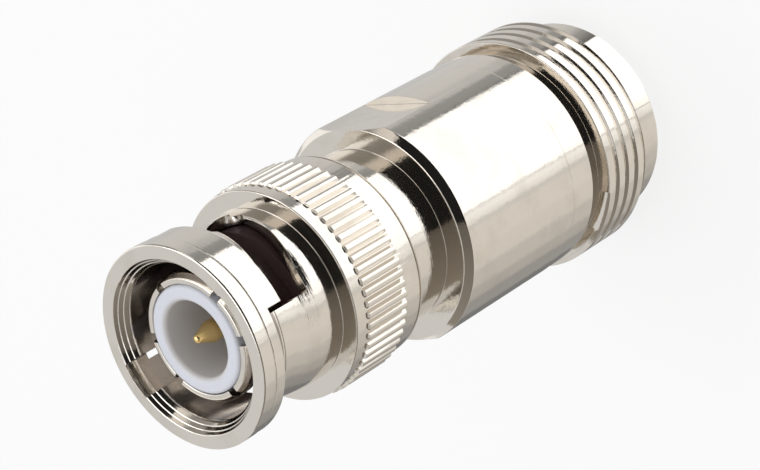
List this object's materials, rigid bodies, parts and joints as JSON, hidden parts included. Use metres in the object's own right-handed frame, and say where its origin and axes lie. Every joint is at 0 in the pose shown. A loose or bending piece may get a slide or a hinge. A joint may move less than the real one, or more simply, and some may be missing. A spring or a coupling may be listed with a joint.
{
  "type": "coaxial adapter",
  "caption": "Nickel coaxial adapter: bayonet plug with a knurled coupling nut and slotted contact at one end, externally threaded jack at the other.",
  "frame": {"origin": "centre of the jack's end face, on which the adapter stands", "axes": "+Z along the connector axis from the threaded jack to the bayonet plug, Y square to the spanner flats"},
  "size_m": [0.0158, 0.0158, 0.0383],
  "materials": {
    "nut_nickel": "bright nickel plate over brass",
    "body_nickel": "bright nickel plate over brass",
    "shell_nickel": "bright nickel plate over brass",
    "washer_nickel": "dull nickel plate",
    "spring_steel": "spring steel",
    "gasket_rubber": "silicone rubber",
    "white_insulator": "white fluoropolymer",
    "gold_contact": "gold plate"
  },
  "bodies": {
    "body": {"main_body": "body_nickel", "bead_bush": "washer_nickel", "socket_insulator": "white_insulator", "centre_socket": "gold_contact", "centre_pin": "gold_contact", "plug_insulator": "white_insulator", "plug_shell": "shell_nickel", "face_gasket": "gasket_rubber", "spring_washer": "spring_steel"},
    "thrust_ring": {"thrust_washer": "washer_nickel"},
    "coupling": {"coupling_nut": "nut_nickel", "retaining_clip": "spring_steel"}
  },
  "joints": [
    {"name": "nut_travel", "type": "slide", "parent": "body", "child": "thrust_ring", "axis": [0, 0, 1], "range_m": [0, 0.0006], "stiffness_N_per_m": 4000, "springref_m": -0.0005, "deforming": ["spring_washer"]},
    {"name": "nut_turn", "type": "hinge", "parent": "thrust_ring", "child": "coupling", "pos_m": [0, 0, 0.03], "axis": [0, 0, 1], "continuous": true}
  ]
}
